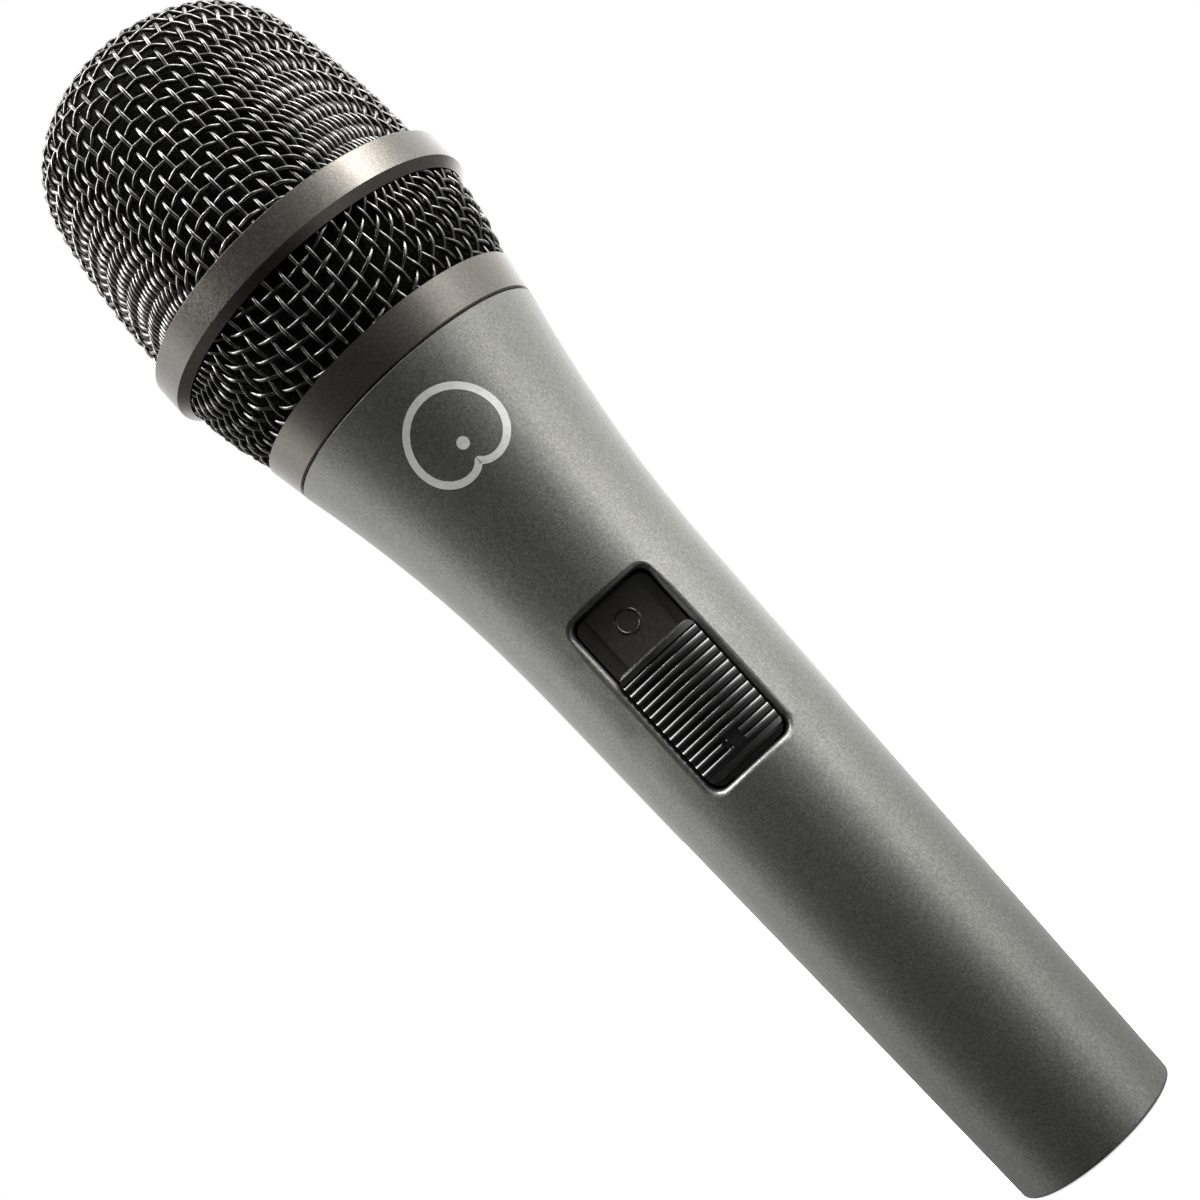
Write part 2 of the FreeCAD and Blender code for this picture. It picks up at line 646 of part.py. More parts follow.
def grille_lower_mesh():
    return band_shell(0, WIRE_CLOTH_T, COLLAR_LEDGE_Z, FLANGE_BOTTOM_Z - FIT_GAP)


def foam_band_liner():
    outer = WIRE_CLOTH_T + FOAM_GAP
    return band_shell(outer, outer + BAND_FOAM_T, BAND_FOAM_BOTTOM_Z, FLANGE_BOTTOM_Z - FIT_GAP)


def grille_belt_ring():
    """Flat ring round the widest part of the head; its flange separates the two wire shells."""
    outline = [(BELT_LOWER_BORE_R, BELT_BOTTOM_Z), (BELT_R, BELT_CHAMFER_Z)]
    outline += [(BELT_R, BELT_TOP_Z - BELT_EDGE), (BELT_R - BELT_EDGE, BELT_TOP_Z)]
    outline.append((BELT_UPPER_BORE_R, BELT_TOP_Z))
    outline += [(BELT_UPPER_BORE_R, FLANGE_TOP_Z), (FLANGE_R, FLANGE_TOP_Z), (FLANGE_R, FLANGE_BOTTOM_Z)]
    outline += [(BELT_LOWER_BORE_R, FLANGE_BOTTOM_Z)]
    return turned(*outline)


def dome_edges(inset):
    """The dome's three tangent arcs, from the crown down to the belt ring."""
    crown_c = at(0, DOME_TOP_Z - DOME_CROWN_R)
    step = DOME_CROWN_R - DOME_SHOULDER_R
    shoulder_c = crown_c + V(step * sin(DOME_CROWN_ANGLE), 0, step * cos(DOME_CROWN_ANGLE))
    step = DOME_SHOULDER_R - DOME_SIDE_R
    side_c = shoulder_c + V(step * sin(DOME_SHOULDER_ANGLE), 0, step * cos(DOME_SHOULDER_ANGLE))
    side_r = DOME_SIDE_R - inset
    drop = BELT_TOP_Z - side_c.z
    end_angle = atan2(sqrt(side_r ** 2 - drop ** 2), drop)
    crown = arc_about(crown_c, DOME_CROWN_R - inset, 0, DOME_CROWN_ANGLE)
    shoulder = arc_about(shoulder_c, DOME_SHOULDER_R - inset, DOME_CROWN_ANGLE, DOME_SHOULDER_ANGLE)
    side = arc_about(side_c, side_r, DOME_SHOULDER_ANGLE, end_angle)
    return [crown, shoulder, side], side.Vertexes[-1].Point


def dome_shell(inset_out, inset_in):
    """A cap between two insets from the dome's outer surface, with a short straight skirt."""
    outside, skirt_out = dome_edges(inset_out)
    inside, skirt_in = dome_edges(inset_in)
    foot = FLANGE_TOP_Z + FIT_GAP
    foot_out, foot_in = at(skirt_out.x, foot), at(skirt_in.x, foot)
    joins = [line(skirt_out, foot_out), line(foot_out, foot_in), line(foot_in, skirt_in)]
    axis_line = line(at(0, DOME_TOP_Z - inset_in), at(0, DOME_TOP_Z - inset_out))
    return spun(Part.__sortEdges__(outside + joins + inside + [axis_line]))


def grille_dome_mesh():
    return dome_shell(0, WIRE_CLOTH_T)


def foam_dome_liner():
    outer = WIRE_CLOTH_T + FOAM_GAP
    return dome_shell(outer, outer + DOME_FOAM_T)


def lead(*route):
    """An insulated wire: straight runs joined by tangent arcs."""
    edges = []
    start = route[0]
    for before, corner, after in zip(route, route[1:], route[2:]):
        way_in = (corner - before).normalize()
        way_out = (after - corner).normalize()
        turn = way_in.getAngle(way_out)
        reach = LEAD_BEND_R * tan(turn / 2)
        first, last = corner - way_in * reach, corner + way_out * reach
        inward = (way_out - way_in).normalize()
        middle = corner + inward * (LEAD_BEND_R / cos(turn / 2) - LEAD_BEND_R)
        edges += [line(start, first), Part.Arc(first, middle, last).toShape()]
        start = last
    edges.append(line(start, route[-1]))
    path = Part.Wire(edges)
    section = Part.Wire(Part.makeCircle(LEAD_R, route[0], (route[1] - route[0])))
    return path.makePipeShell([section], True, False)


def connector_lead(place, lug_z, x):
    """From a solder cup up to a lug of the switch."""
    cup_x, cup_y = PIN_PLACES[place]
    side = LUG_HALF_X + LEAD_R + FIT_GAP
    reach_x = side if x > 0 else -side
    foot = V(cup_x, cup_y, CUP_TOP_Z + FIT_GAP)
    behind = LUG_Y[1] - LEAD_OVERLAP
    turns = [V(cup_x, cup_y, CUP_TOP_Z + LEAD_RISE), V(reach_x, behind, lug_z - LEAD_APPROACH)]
    return lead(foot, *turns, V(reach_x, behind, lug_z + LEAD_OVERLAP))


def cartridge_lead(side, lug_z):
    """From a lug of the switch up to a lug of the cartridge; it lies beside both."""
    near = side * (LUG_HALF_X + LEAD_R + FIT_GAP)
    far_y = TERMINAL_T / 2 + LEAD_R + FIT_GAP
    behind = LUG_Y[1] - LEAD_OVERLAP
    far_x = side * TERMINAL_X
    start = [V(near, behind, lug_z - LEAD_OVERLAP), V(near, behind, CASE_Z[1] + LEAD_ABOVE_CASE)]
    end = [V(far_x, far_y, TERMINAL_Z[0] - LEAD_BELOW_BACKPLATE)]
    end.append(V(far_x, far_y, TERMINAL_Z[0] + LEAD_ON_TERMINAL))
    return lead(*start, *end)


NODES = {
    "handle_body": handle_body,
    "connector_shell": connector_shell,
    "connector_insert": connector_insert,
    "connector_pins": connector_pins,
    "connector_screw": connector_screw,
    "ground_spring": ground_spring,
    "switch_frame": switch_frame,
    "switch_housing": switch_housing,
    "switch_screws": switch_screws,
    "switch_terminals": switch_terminals,
    "switch_detent_spring": switch_detent_spring,
    "switch_slider": switch_slider,
    "switch_tongue": switch_tongue,
    "contact_bridge": contact_bridge,
    "shock_mount": shock_mount,
    "cartridge_housing": cartridge_housing,
    "cartridge_cap": cartridge_cap,
    "cartridge_screen": cartridge_screen,
    "cartridge_backplate": cartridge_backplate,
    "cartridge_terminals": cartridge_terminals,
    "magnet_yoke": magnet_yoke,
    "magnet": magnet,
    "pole_piece": pole_piece,
    "voice_coil": voice_coil,
    "diaphragm": diaphragm,
    "diaphragm_surround": diaphragm_surround,
    "grille_washer": grille_washer,
    "grille_collar": grille_collar,
    "grille_lower_mesh": grille_lower_mesh,
    "grille_belt_ring": grille_belt_ring,
    "grille_dome_mesh": grille_dome_mesh,
    "foam_band_liner": foam_band_liner,
    "foam_dome_liner": foam_dome_liner,
    "lead_connector_hot": lambda: connector_lead(1, LUG_Z[0], 1),
    "lead_connector_cold": lambda: connector_lead(0, LUG_Z[1], -1),
    "lead_cartridge_hot": lambda: cartridge_lead(1, LUG_Z[1]),
    "lead_cartridge_cold": lambda: cartridge_lead(-1, LUG_Z[2]),
}

os.makedirs("parts", exist_ok=True)
for name, make in NODES.items():
    shape = make()
    print(f"{name:24} solids {len(shape.Solids)} valid {shape.isValid()} volume {shape.Volume:9.2f}")
    shape.exportStep(f"parts/{name}.step")
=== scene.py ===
import bpy
import math
import numpy as np
from mathutils import Matrix, Vector, noise
from mathutils.bvhtree import BVHTree


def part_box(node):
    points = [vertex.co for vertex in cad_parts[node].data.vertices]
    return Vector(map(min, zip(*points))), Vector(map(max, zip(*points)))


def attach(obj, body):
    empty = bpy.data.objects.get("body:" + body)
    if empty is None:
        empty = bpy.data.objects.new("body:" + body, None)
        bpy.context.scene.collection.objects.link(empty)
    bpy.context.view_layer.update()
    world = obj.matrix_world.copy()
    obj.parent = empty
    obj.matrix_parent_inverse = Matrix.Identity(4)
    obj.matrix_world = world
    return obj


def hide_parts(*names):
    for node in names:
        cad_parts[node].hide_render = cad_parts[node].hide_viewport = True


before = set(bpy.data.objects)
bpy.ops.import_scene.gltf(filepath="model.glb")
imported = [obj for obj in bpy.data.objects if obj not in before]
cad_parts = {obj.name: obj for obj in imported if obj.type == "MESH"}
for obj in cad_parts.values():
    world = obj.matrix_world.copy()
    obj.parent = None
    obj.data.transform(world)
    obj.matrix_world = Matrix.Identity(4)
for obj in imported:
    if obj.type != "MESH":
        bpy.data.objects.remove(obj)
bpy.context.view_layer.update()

MM = 0.001              # metres in a millimetre; the sizes below are in millimetres

# ---------------------------------------------------------------- sizes

# Woven wire: between ten and twelve wires to the inch, drawn over the head's shape
WIRE_D = 0.56
CRIMP = 0.27            # how far a wire swings out and in as it passes over and under
WIRE_SIDES = 8
STEPS_PER_CELL = 6
LOCK_SHARE = 0.35       # two crossing wires lock at this share of the pitch
SHEAR_WEIGHT = 0.02
SHAPE_WEIGHT = 0.001
DRAW_ROUNDS = 14
DRAW_NUDGE = 1e-6
LAY_POWERS, LAY_WAVES = 6, 4
CLOTH_SPAN = 60.0
SHORTEST_WIRE = 3        # steps; shorter ends at the cut edge are left out
# pitch; reach from the former's pole to the cut edge; degrees from the front to the cloth's own middle, and
# degrees more by the edge; where the first wires lie
DOME_CLOTH = {"pitch": 2.24, "reach": 56.0, "turn": -10.7, "twist": 7.0, "shift": (-0.98, -0.3)}
BAND_CLOTH = {"pitch": 2.4, "reach": 42.0, "turn": -6.5, "twist": 0.0, "shift": (2.55, -1.1)}

# The dome's outer surface: three tangent arcs from the crown down
CROWN_R, CROWN_ANGLE = 27.67, 0.601
SHOULDER_R, SHOULDER_ANGLE = 14.04, 1.379
SIDE_R = 121.5
SKIRT = 60.0            # the former runs on this far below the belt ring
PROFILE_STEP = 0.2

# The lower band is the rim of a bowl whose bottom was cut out
BAND_FOOT = (20.7, 136.0)
BAND_MIDDLE = (22.6, 141.0)
BAND_TOP = (24.2, 150.4)
BOWL_CORNER_R = 4.5
BOWL_RIM_Z = 215.0      # the bowl's straight wall ends here, well past the band

FOAM_GAP = 0.35
FOAM_DOME_T, FOAM_BAND_T = 2.7, 1.5
FOAM_GRAIN, FOAM_LUMP = 0.9, 0.16
FOAM_ROWS = 3           # keeps every third row of the profile
POLE_HOLE_R = 0.05      # turned shells stop this far from the axis

THREAD_LEAD = 1.0
THREAD_FOOT, THREAD_CREST = 0.75, 0.15
NECK_ROOT_R, NECK_CREST_R = 17.97, 18.5
COLLAR_ROOT_R, COLLAR_CREST_R = 18.63, 18.1
THREAD_STEPS = 96
THREAD_FADE_STEPS, THREAD_LEAST = 20, 0.05
THREAD_START, THREAD_END = 0.5, 0.9     # how far the neck's thread stays from the washer and the top
COLLAR_THREAD = (0.5, 2.1)              # the collar's thread, above the start of the neck's

PRINT_T = 0.03          # thickness of printed ink
SIGHT_Y = -0.1          # metres; rays that find a front surface start here
MARK_Z = 116.8
MARK_A = 4.7
MARK_DIMPLE = 1.1       # the heart-shaped pattern's reach is this plus the sine, times MARK_A
MARK_STROKE = 1.0
MARK_DOT_R, MARK_DOT_RISE = 0.85, 2.4
MARK_STEPS = 120
DOT_HOLE_R = 0.02       # a printed dot is a loop with a pinhole
OFF_PLACE, OFF_R, OFF_STROKE = (0.1, 88.9), 1.6, 0.65
OFF_RISE = 0.12         # the ring stands this proud, under the slider's 0.15 clearance

# How round these nodes' edges are
SOFT_EDGES = (("switch_frame", 0.12), ("grille_collar", 0.08), ("grille_belt_ring", 0.1))
EDGE_ANGLE = 35         # degrees; flatter edges stay as they are

# How bright the room is round the microphone, by degrees from the front, positive to the right
ROOM_LIGHT = ((-180, 1.2), (-150, 1.1), (-120, 1.4), (-104, 2.0), (-92, 1.5), (-80, 0.6), (-68, 0.25),
              (-55, 0.12), (-45, 0.08), (-20, 0.07), (0, 0.08), (14, 0.24), (28, 0.44), (44, 1.2), (54, 3.4),
              (68, 4.4), (80, 2.7), (100, 1.9), (120, 1.9), (150, 2.0), (180, 1.5))
ROOM_PEAK = 4.4
ROOM_LOW, ROOM_HIGH = 0.18, 1.08
ROOM_RISE = (-0.24, -0.02)      # the room brightens between these heights on the unit sphere

WHITE = "ffffff"

# The camera, in metres: its place, its right and backward directions, and its lens in millimetres
CAMERA_PLACE = (-0.0007, -0.2623, 0.0687)
CAMERA_RIGHT = (0.7364, 0.0663, -0.6733)
CAMERA_BACK = (0.0, -0.99518, -0.09804)
LENS, SENSOR = 58.89, 36.0

FLOOR_HALF, FLOOR_DROP, FLOOR_GLOW = 3.0, 0.0002, 0.62
MOTTLE = 40.0           # millimetres between the floor's faint patches

# Each soft box: its place, what it points at, its width and length in metres, and its power in watts
SOFT_BOXES = {
    "left_box": ((-0.32, -0.14, 0.60), (0, 0, 0.09), (0.45, 0.4), 8.0),
    "right_box": ((0.42, -0.12, 0.5), (0, 0, 0.09), (0.4, 0.35), 5.5),
    "overhead_box": ((0.0, -0.16, 0.66), (0, 0, 0.17), (0.12, 0.12), 1.3),
}


def linear(hex_colour, alpha=1.0):
    """An sRGB hex colour as the linear values that shaders take."""
    parts = [int(hex_colour[i:i + 2], 16) / 255 for i in (0, 2, 4)]
    values = [p / 12.92 if p <= 0.04045 else ((p + 0.055) / 1.055) ** 2.4 for p in parts]
    return (*values, alpha)


# ---------------------------------------------------------------- materials

def add(tree, kind, inputs=None, **settings):
    """Adds a shader node, with its settings, and its inputs as values or as sockets to link."""
    node = tree.nodes.new("ShaderNode" + kind)
    for name, value in settings.items():
        setattr(node, name, value)
    for name, value in (inputs or {}).items():
        if isinstance(value, bpy.types.NodeSocket):
            tree.links.new(value, node.inputs[name])
        else:
            node.inputs[name].default_value = value
    return node


def blank(name, **shader):
    """A material with a Principled shader, its node tree, and object coordinates in millimetres."""
    material = bpy.data.materials.new(name)
    material.use_nodes = True
    tree = material.node_tree
    tree.nodes.clear()
    surface = add(tree, "BsdfPrincipled", shader)
    output = add(tree, "OutputMaterial")
    tree.links.new(surface.outputs[0], output.inputs["Surface"])
    place = add(tree, "TexCoord").outputs["Object"]
    millimetres = add(tree, "VectorMath", {0: place, "Scale": 1 / MM}, operation="SCALE").outputs[0]
    return material, tree, surface, millimetres


def grain(tree, place, size, detail=2.0, rough=0.5):
    """Noise whose features are about size millimetres across."""
    settings = {"Vector": place, "Scale": 1 / size, "Detail": detail, "Roughness": rough}
    return add(tree, "TexNoise", settings).outputs["Fac"]


def spread(tree, value, low, high, low_in=0.0, high_in=1.0):
    """Maps a value from one range to another."""
    settings = {"Value": value, "From Min": low_in, "From Max": high_in, "To Min": low, "To Max": high}
    return add(tree, "MapRange", settings).outputs[0]


def ramp(tree, value, stops):
    """A colour ramp between (place, linear colour) stops."""
    node = add(tree, "ValToRGB", {"Fac": value})
    elements = node.color_ramp.elements
    while len(elements) < len(stops):
        elements.new(0.5)
    for element, (place, colour) in zip(elements, stops):
        element.position = place
        element.color = colour
    return node.outputs["Color"]


def tint(tree, value, colours, places=None):
    """A colour ramp between hex colours."""
    places = places or [i / (len(colours) - 1) for i in range(len(colours))]
    return ramp(tree, value, [(place, linear(colour)) for place, colour in zip(places, colours)])


def weighted(tree, *pairs):
    """The sum of values times their weights."""
    total = 0.0
    for value, weight in pairs:
        total = add(tree, "Math", {0: value, 1: weight, 2: total}, operation="MULTIPLY_ADD").outputs[0]
    return total


def wave_scale(size):
    """The scale for waves of a size in millimetres. Their crests lie about twice as far apart."""
    return 1 / size / (2 * math.pi)


def relief(tree, surface, height, depth, strength=1.0):
    """Bumps of the given depth in millimetres."""
    settings = {"Height": height, "Distance": depth * MM, "Strength": strength}
    tree.links.new(add(tree, "Bump", settings).outputs[0], surface.inputs["Normal"])


def plug(tree, surface, **sockets):
    for name, socket in sockets.items():
        tree.links.new(socket, surface.inputs[name.replace("_", " ")])


def flake_lacquer(name, shades, rough, flake_mm, tilt):
    """Metallic lacquer, sprayed: aluminium flakes of slightly different tilt under a satin clear coat.
    The eye sees a soft sheen broken by a fine bright and dark speckle."""
    material, tree, surface, place = blank(name, Metallic=0.85)
    surface.inputs["Coat Weight"].default_value = 0.1
    surface.inputs["Coat Roughness"].default_value = 0.3
    flakes = add(tree, "TexVoronoi", {"Vector": place, "Scale": 1 / flake_mm}, feature="F1")
    each = add(tree, "SeparateColor", {"Color": flakes.outputs["Color"]}).outputs[0]
    fine = grain(tree, place, flake_mm * 2.0, 3.0, 0.7)
    cloud = grain(tree, place, 5.0, 2.0)
    speckle = weighted(tree, (each, 0.4), (fine, 0.5), (cloud, 0.1))
    plug(tree, surface, Base_Color=tint(tree, spread(tree, speckle, 0.0, 1.0, 0.2, 0.85), shades))
    plug(tree, surface, Roughness=spread(tree, fine, rough - 0.04, rough + 0.06, 0.3, 0.7))
    relief(tree, surface, each, tilt, 0.5)
    return material


def handle_lacquer():
    """Sprayed on the zinc casting, dark neutral grey with a fine sparkle."""
    return flake_lacquer("handle_lacquer", ["61615c", "747470", "8b8b85"], 0.37, 0.17, 0.01)


def ring_lacquer():
    """Sprayed on the turned rings, a little warmer and smoother than the handle."""
    return flake_lacquer("ring_lacquer", ["55524d", "5f5b56", "6b6761"], 0.25, 0.2, 0.003)


def plated_wire():
    """Steel wire, woven and drawn, then plated in dark nickel: bright crests, dull tarnish in the crossings."""
    material, tree, surface, place = blank("plated_wire", Metallic=1.0)
    tarnish = grain(tree, place, 1.1, 3.0, 0.6)
    plug(tree, surface, Base_Color=tint(tree, tarnish, ["353534", "5c5b59", "8c8a87"], [0.3, 0.52, 0.72]))
    plug(tree, surface, Roughness=spread(tree, tarnish, 0.34, 0.2, 0.3, 0.7))
    relief(tree, surface, grain(tree, place, 0.18), 0.01, 0.5)
    return material


def open_cell_foam():
    """Polyurethane foam, blown and crushed open: matt black with torn cells half a millimetre across."""
    material, tree, surface, place = blank("open_cell_foam", Roughness=0.97)
    surface.inputs["Specular IOR Level"].default_value = 0.12
    cells = add(tree, "TexVoronoi", {"Vector": place, "Scale": 1 / 0.55}, feature="DISTANCE_TO_EDGE")
    ribs = spread(tree, cells.outputs["Distance"], 1.0, 0.0, 0.0, 0.16)
    # The colour is darkest in the middle of each cell, where the bump sinks, and lighter on the ribs: painted
    # shade in the pores.
    plug(tree, surface, Base_Color=tint(tree, ribs, ["020202", "0b0b0b", "1b1b1a"]))
    relief(tree, surface, ribs, 0.25)
    return material


def black_abs(name, shades, smooth, rough):
    """ABS moulded in a polished tool: black, with faint flow ripples and handling scuffs."""
    material, tree, surface, place = blank(name, IOR=1.6)
    scuff = grain(tree, place, 0.5, 4.0, 0.65)
    plug(tree, surface, Base_Color=tint(tree, scuff, shades, [0.3, 0.55, 0.8]))
    plug(tree, surface, Roughness=spread(tree, scuff, smooth, rough, 0.35, 0.75))
    relief(tree, surface, grain(tree, place, 1.7), 0.01, 0.35)
    return material


def spark_textured_plastic(name, shades, rough, texture):
    """Plastic moulded in a spark-eroded tool: an even matt pebble."""
    material, tree, surface, place = blank(name, IOR=1.5)
    pebble = grain(tree, place, texture, 2.0, 0.6)
    plug(tree, surface, Base_Color=tint(tree, pebble, shades))
    plug(tree, surface, Roughness=spread(tree, pebble, rough - 0.08, rough + 0.1))
    relief(tree, surface, pebble, 0.02, 0.6)
    return material


def pad_printed_ink(name, shade, edge):
    """Pad-printed ink: matt, very slightly uneven where the pad lifted."""
    material, tree, surface, place = blank(name, Roughness=0.45, Metallic=0.4)
    patchy = grain(tree, place, 0.4, 3.0, 0.6)
    plug(tree, surface, Base_Color=tint(tree, patchy, [edge, shade], [0.2, 0.5]))
    relief(tree, surface, patchy, 0.006)
    return material


def turned_metal(name, shades, rough, pitch):
    """Metal turned on a lathe: fine rings round the axis."""
    material, tree, surface, place = blank(name, Metallic=1.0)
    parts = add(tree, "SeparateXYZ", {"Vector": place}).outputs
    flat = add(tree, "CombineXYZ", {"X": parts["X"], "Y": parts["Y"]}).outputs[0]
    radius = add(tree, "VectorMath", {0: flat}, operation="LENGTH").outputs["Value"]
    across = add(tree, "Math", {0: radius, 1: parts["Z"]}, operation="ADD").outputs[0]
    line_up = add(tree, "CombineXYZ", {"X": across}).outputs[0]
    rings = add(tree, "TexNoise", {"Vector": line_up, "Scale": 1 / pitch, "Detail": 3.0}).outputs["Fac"]
    smear = grain(tree, place, 2.0)
    both = add(tree, "Math", {0: rings, 1: smear}, operation="MULTIPLY").outputs[0]
    plug(tree, surface, Base_Color=tint(tree, spread(tree, both, 0, 1, 0.1, 0.5), shades))
    plug(tree, surface, Roughness=spread(tree, rings, rough - 0.06, rough + 0.08, 0.3, 0.7))
    relief(tree, surface, rings, 0.008)
    return material


def silver_plate():
    """Silver plate on brass contacts: bright, with warm wipe marks along the pin."""
    return turned_metal("silver_plate", ["9d968a", "cfcac0", "e6e3dc"], 0.2, 0.5)


def nickel_plate():
    """Nickel plate on a turned liner: bright grey, faint rings."""
    return turned_metal("nickel_plate", ["85837e", "b4b1aa", "cac7c0"], 0.24, 0.2)


def ground_steel():
    return turned_metal("ground_steel", ["6d6c69", "8e8d89", "a9a7a3"], 0.32, 0.12)


def sintered_magnet():
    """Sintered magnet slug, ground: dark grey with fine pits."""
    material, tree, surface, place = blank("sintered_magnet", Metallic=0.7)
    pits = grain(tree, place, 0.25, 4.0, 0.7)
    plug(tree, surface, Base_Color=tint(tree, pits, ["29292b", "3b3b3e", "55555a"], [0.3, 0.5, 0.7]))
    plug(tree, surface, Roughness=spread(tree, pits, 0.6, 0.38, 0.3, 0.7))
    relief(tree, surface, pits, 0.03)
    return material


def rolled_spring_brass():
    """Rolled spring strip: warm metal with lengthwise rolling lines."""
    material, tree, surface, place = blank("rolled_spring_brass", Metallic=1.0)
    along = add(tree, "VectorMath", {0: place, 1: (6.0, 6.0, 0.25)}, operation="MULTIPLY").outputs[0]
    lines = grain(tree, along, 1.0, 3.0, 0.6)
    plug(tree, surface, Base_Color=tint(tree, lines, ["8a6a35", "b8924f", "d3b06c"], [0.3, 0.5, 0.7]))
    plug(tree, surface, Roughness=spread(tree, lines, 0.36, 0.22, 0.3, 0.7))
    relief(tree, surface, lines, 0.005)
    return material


def enamelled_winding():
    """Voice coil of enamelled copper wire: glossy copper turns, drawn coarser than real."""
    material, tree, surface, place = blank("enamelled_winding", Metallic=0.9)
    turns = add(tree, "TexWave", {"Vector": place, "Scale": wave_scale(0.12), "Distortion": 0.3},
                bands_direction="Z").outputs["Fac"]
    surface.inputs["Coat Weight"].default_value = 0.6
    surface.inputs["Coat Roughness"].default_value = 0.15
    # The colour follows the bump's waves: painted shade in the grooves between turns and a painted highlight on
    # their crests.
    plug(tree, surface, Base_Color=tint(tree, turns, ["4a1d10", "a3502b", "c9794a"]))
    plug(tree, surface, Roughness=spread(tree, turns, 0.4, 0.24))
    relief(tree, surface, turns, 0.05)
    return material


def polyester_film():
    """Stamped polyester film: clear amber gloss with fine radial stress ripples."""
    material, tree, surface, place = blank("polyester_film", IOR=1.6, Alpha=0.6)
    ripple = grain(tree, place, 0.8, 2.0)
    plug(tree, surface, Base_Color=tint(tree, ripple, ["b79c5d", "d9c48b"], [0.3, 0.7]))
    plug(tree, surface, Roughness=spread(tree, ripple, 0.1, 0.24))
    relief(tree, surface, ripple, 0.02)
    return material


def acoustic_cloth():
    """Fine woven polyester disc: dark threads, drawn coarser than real."""
    material, tree, surface, place = blank("acoustic_cloth", Roughness=0.9)
    surface.inputs["Sheen Weight"].default_value = 0.3
    waves = []
    for way in ("X", "Y"):
        settings = {"Vector": place, "Scale": wave_scale(0.25)}
        waves.append(add(tree, "TexWave", settings, bands_direction=way).outputs["Fac"])
    weave = add(tree, "Math", {0: waves[0], 1: waves[1]}, operation="MULTIPLY").outputs[0]
    # The colour follows the bump: painted highlight on the raised crossings and painted shade in the gaps, on
    # threads that are dark all over.
    plug(tree, surface, Base_Color=tint(tree, weave, ["050505", "1d1d1e", "3a3a3c"]))
    relief(tree, surface, weave, 0.06)
    return material


def moulded_rubber():
    """Compression-moulded rubber: soft black with a dusty bloom."""
    material, tree, surface, place = blank("moulded_rubber")
    bloom = grain(tree, place, 1.2, 4.0, 0.65)
    plug(tree, surface, Base_Color=tint(tree, bloom, ["0b0b0b", "161616", "2a2927"], [0.35, 0.6, 0.85]))
    plug(tree, surface, Roughness=spread(tree, bloom, 0.62, 0.85))
    relief(tree, surface, grain(tree, place, 0.2), 0.02)
    return material


def vulcanised_fibre():
    """Vulcanised fibre washer: brick-brown pressed paper with short dark fibres."""
    material, tree, surface, place = blank("vulcanised_fibre", Roughness=0.8)
    fibres = grain(tree, place, 0.3, 5.0, 0.75)
    plug(tree, surface, Base_Color=tint(tree, fibres, ["3a1a12", "6a3322", "84503a"], [0.3, 0.5, 0.75]))
    relief(tree, surface, fibres, 0.03)
    return material


def pvc_insulation(name, shades):
    """Extruded PVC wire insulation: smooth, with faint lengthwise drawing lines."""
    material, tree, surface, place = blank(name, IOR=1.53)
    along = add(tree, "VectorMath", {0: place, 1: (3.0, 3.0, 0.2)}, operation="MULTIPLY").outputs[0]
    lines = grain(tree, along, 1.0, 2.0)
    plug(tree, surface, Base_Color=tint(tree, lines, shades))
    plug(tree, surface, Roughness=spread(tree, lines, 0.3, 0.45))
    relief(tree, surface, lines, 0.01)
    return material


# ---------------------------------------------------------------- mesh pieces

def piece(name, points, faces, material, body, smooth=True):
    """A mesh piece from points in millimetres, riding on a CAD body."""
    mesh = bpy.data.meshes.new(name)
    mesh.from_pydata((np.asarray(points) * MM).tolist(), [], faces)
    mesh.update()
    if smooth:
        mesh.shade_smooth()
    thing = bpy.data.objects.new(name, mesh)
    bpy.context.scene.collection.objects.link(thing)
    mesh.materials.append(material)
    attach(thing, body)
    return thing


def dome_profile():
    """Radius and height of the dome's outer surface, from the crown down past the belt ring."""
    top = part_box("grille_dome_mesh")[1].z / MM
    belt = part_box("grille_belt_ring")[1].z / MM
    crown = np.array([0, top - CROWN_R])
    way = np.array([math.sin(CROWN_ANGLE), math.cos(CROWN_ANGLE)])
    shoulder = crown + (CROWN_R - SHOULDER_R) * way
    way = np.array([math.sin(SHOULDER_ANGLE), math.cos(SHOULDER_ANGLE)])
    side = shoulder + (SHOULDER_R - SIDE_R) * way
    last = math.acos((belt - side[1]) / SIDE_R)
    spans = [(crown, CROWN_R, 0, CROWN_ANGLE), (shoulder, SHOULDER_R, CROWN_ANGLE, SHOULDER_ANGLE)]
    spans.append((side, SIDE_R, SHOULDER_ANGLE, last))
    rows = []
    for centre, radius, start, end in spans:
        count = int(radius * (end - start) / PROFILE_STEP) + 2
        for angle in np.linspace(start, end, count)[:-1]:
            rows.append(centre + radius * np.array([math.sin(angle), math.cos(angle)]))
    foot = rows[-1]
    rows += [np.array([foot[0], z]) for z in np.arange(foot[1] - PROFILE_STEP, belt - SKIRT, -PROFILE_STEP)]
    return np.array(rows)


def arc_through(a, b, c, count):
    """Points of the arc through three (r, z) points."""
    (ax, ay), (bx, by), (cx, cy) = a, b, c
    d = 2 * (ax * (by - cy) + bx * (cy - ay) + cx * (ay - by))
    squares = [p[0] ** 2 + p[1] ** 2 for p in (a, b, c)]
    ux = (squares[0] * (by - cy) + squares[1] * (cy - ay) + squares[2] * (ay - by)) / d
    uy = (squares[0] * (cx - bx) + squares[1] * (ax - cx) + squares[2] * (bx - ax)) / d
    start, end = math.atan2(ay - uy, ax - ux), math.atan2(cy - uy, cx - ux)
    end = start + (end - start + math.pi) % (2 * math.pi) - math.pi
    radius = math.hypot(ax - ux, ay - uy)
    angles = np.linspace(start, end, count)
    return np.stack([ux + radius * np.cos(angles), uy + radius * np.sin(angles)], 1)


